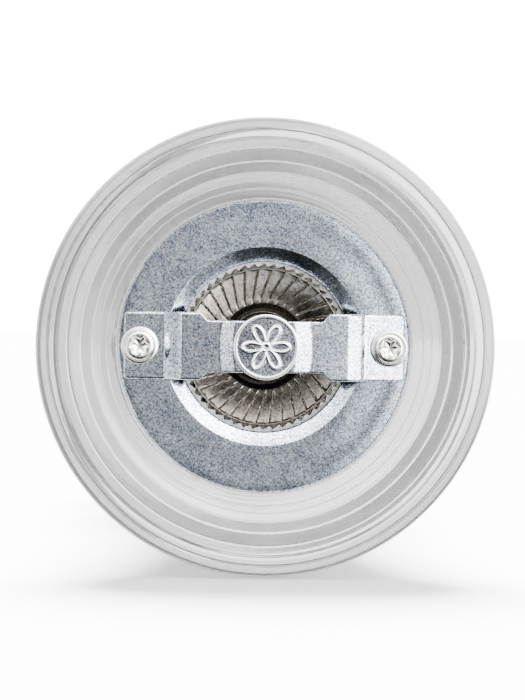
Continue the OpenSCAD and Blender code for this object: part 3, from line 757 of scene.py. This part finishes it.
def knob_outline():
    """Outline of the knob: a flared foot, a neck and a ball with an eased crown, bored below."""
    low, height, r = knob_low[2], knob_high[2] - knob_low[2], knob_high[0]
    widest, neck = (r, low + 0.56 * height), (5.4, low + 0.17 * height)
    return np.vstack([
        rounded([(4.4, low + 0.6, 0.1), (4.6, low, 0.1), (6.4, low, 0.4), (6.4, low + 1.3, 0.5),
                 (5.5, low + 2.0, 0)], 7)[:-1],
        s_curve(neck, widest, 0.3, 20),
        swell(widest, (5.6, low + height - 0.12), 24),
        rounded([(5.5, low + height, 0), (4.5, low + height, 0.15), (4.35, low + height - 1, 0),
                 (4.4, low + height - 1, 0)], 5)])


def ferrule_outline():
    """Outline of the ferrule: a flat seat with a rolled edge."""
    low, high, r = ferrule_low[2], ferrule_high[2], ferrule_high[0]
    return rounded([(2.8, low, 0), (r, low, 0.12), (r, low + 0.7, 0.4), (r - 2.4, high, 0.5),
                    (2.8, high, 0.1)], 8)


piece("turned_knob", [lathe(knob_outline(), 200)], "knob", knob_steel,
      ["adjusting_knob"], crease=40)
piece("knob_ferrule", [lathe(ferrule_outline(), 200)], "head", knob_steel,
      ["top_ferrule"], crease=40)


# ---------------------------------------------------------------- plain CAD pieces

for node, finish in {
        "spring_guide": guide_steel, "thrust_washer": nickel, "retaining_clip": spring_steel,
        "neck_washer": nylon, "drive_plate": guide_steel, "drive_plate_screws": nickel,
        "knob_washer": nylon, "knob_insert": brass, "knob_disc": button_steel}.items():
    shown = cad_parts[node]
    shown.data.materials.clear()
    shown.data.materials.append(finish)


# ---------------------------------------------------------------- table, lights and camera

# Light levels: the even white round the mill, the table's own glow in the clear parts, the
# brightest wall of the room that bare steel reflects, and what the camera sees past the mill
white_level = 1.85
table_glow = 1.6 * white_level
room_level = 16.0
backdrop_level = 20.0


def bare_gloss(tree):
    """1 for a reflection that has not gone through the clear parts, else 0."""
    path = add(tree, "LightPath").outputs
    inside = add(tree, "Math", {0: path["Transmission Depth"], 1: 1.0},
                 operation="MINIMUM").outputs[0]
    return add(tree, "Math", {0: path["Is Glossy Ray"], 1: inside}, operation="SUBTRACT",
               use_clamp=True).outputs[0]


def table_top():
    """The white table, which the mill's side touches. It shows only from the mill's side. The
    clear parts see it evenly white, and bare steel reflects the room in its place."""
    made, tree, shader = material("white table", (0.9, 0.9, 0.9), Roughness=0.7)
    seen = add(tree, "LightPath").outputs["Is Camera Ray"]
    even = add(tree, "Emission", {"Strength": table_glow}).outputs[0]
    lit = add(tree, "MixShader", {0: seen, 1: even, 2: shader.outputs[0]}).outputs[0]
    clear = add(tree, "BsdfTransparent").outputs[0]
    facing = add(tree, "NewGeometry").outputs["Backfacing"]
    hidden = add(tree, "Math", {0: facing, 1: bare_gloss(tree)}, operation="MAXIMUM").outputs[0]
    both = add(tree, "MixShader", {0: hidden, 1: lit, 2: clear}).outputs[0]
    tree.links.new(both, tree.nodes["Material Output"].inputs[0])
    y = cad_high[1] + 0.0002
    mesh = bpy.data.meshes.new("table_top")
    reach = 4.0
    mesh.from_pydata([(-reach, y, -reach), (reach, y, -reach), (reach, y, reach),
                      (-reach, y, reach)], [], [(0, 1, 2, 3)])
    top = bpy.data.objects.new("table_top", mesh)
    mesh.materials.append(made)
    bpy.context.scene.collection.objects.link(top)
    return top


def studio():
    """White surroundings, bright behind the mill. Bare steel reflects a room instead, with its
    light above and on the right, a dimmer wall on the left and a dark floor."""
    world = bpy.data.worlds.new("white studio")
    bpy.context.scene.world = world
    world.use_nodes = True
    tree = world.node_tree
    sky = tree.nodes["Background"]
    sky.inputs["Color"].default_value = (1, 1, 1, 1)
    way = add(tree, "SeparateXYZ", {0: add(tree, "TexCoord").outputs["Generated"]}).outputs
    across = add(tree, "Math", {0: way[0], 1: 0.5, 2: 0.5}, operation="MULTIPLY_ADD").outputs[0]
    upwards = add(tree, "Math", {0: way[1], 1: -0.5, 2: 0.5}, operation="MULTIPLY_ADD").outputs[0]
    right = ramp(tree, across, [
        (0.0, 0.2), (0.27, 0.2), (0.31, 0.1), (0.34, 0.015), (0.42, 0.03), (0.45, 0.06),
        (0.49, 0.054), (0.515, 0.078), (0.535, 0.056), (0.55, 0.05), (0.57, 0.15),
        (0.615, 0.2), (0.65, 0.7), (0.69, 1.0)])
    above = ramp(tree, upwards, [
        (0.0, 0.03), (0.3, 0.05), (0.39, 0.4), (0.42, 0.72), (0.47, 0.84), (0.5, 0.84),
        (0.51, 1.0), (0.7, 1.0)])
    lit = add(tree, "Math", {0: right, 1: above}, operation="MULTIPLY").outputs[0]
    high = add(tree, "MapRange", {0: upwards, 1: 0.66, 2: 0.85, 3: 0.0, 4: 0.6}).outputs[0]
    shade = add(tree, "Math", {0: lit, 1: high}, operation="ADD").outputs[0]
    strong = add(tree, "Math", {0: shade, 1: room_level}, operation="MULTIPLY").outputs[0]
    mirrored = add(tree, "Mix", {0: bare_gloss(tree), 2: white_level, 3: strong}).outputs[0]
    seen = add(tree, "LightPath").outputs["Is Camera Ray"]
    level = add(tree, "Math", {0: seen, 1: backdrop_level, 2: mirrored},
                operation="MULTIPLY_ADD").outputs[0]
    tree.links.new(level, sky.inputs["Strength"])


def lamp(name, kind, watts, back):
    """A light of one kind, which shines the opposite way to back."""
    data = bpy.data.lights.new(name, kind)
    data.energy = watts
    made = bpy.data.objects.new(name, data)
    bpy.context.scene.collection.objects.link(made)
    made.rotation_mode = "QUATERNION"
    made.rotation_quaternion = Vector(back).to_track_quat("Z", "Y")
    return made


def softbox(name, place, target, size, watts):
    """A soft rectangular light that faces a target."""
    made = lamp(name, "AREA", watts, np.array(place) - np.array(target))
    made.location = place
    made.data.shape = "RECTANGLE"
    made.data.size, made.data.size_y = size


def daylight(name, way, watts, spread, lights_only):
    """A broad even light along a direction, which lights only some objects."""
    made = lamp(name, "SUN", watts, -np.array(way))
    made.data.angle = np.radians(spread)
    shown = bpy.data.collections.new(name + "_receivers")
    for one in lights_only:
        shown.objects.link(one)
    made.light_linking.receiver_collection = shown


def camera():
    """A long lens below the foot, slightly off the mill's axis, with the table at the bottom."""
    place = Vector((-0.014, -0.004, -0.33))
    target = Vector((-0.00045, 0.00035, 0.002))
    sensor, view_h = 36, 0.0882
    data = bpy.data.cameras.new("camera")
    data.sensor_width = sensor
    data.lens = sensor * (place - target).length / view_h
    data.clip_start = 0.01
    data.clip_end = 50
    made = bpy.data.objects.new("camera", data)
    bpy.context.scene.collection.objects.link(made)
    forward = (target - place).normalized()
    right = forward.cross(Vector((-0.0134, -1, 0))).normalized()
    up = right.cross(forward)
    made.matrix_world = Matrix.Translation(place) @ Matrix(
        (right, up, -forward)).transposed().to_4x4()
    bpy.context.scene.camera = made


table = table_top()
studio()
daylight("table_light", (0.03, 1.0, -0.65), 46, 38, [table])
softbox("top_softbox", (0.08, -0.36, -0.20), (0, 0, 0.01), (0.5, 0.3), 1)
camera()
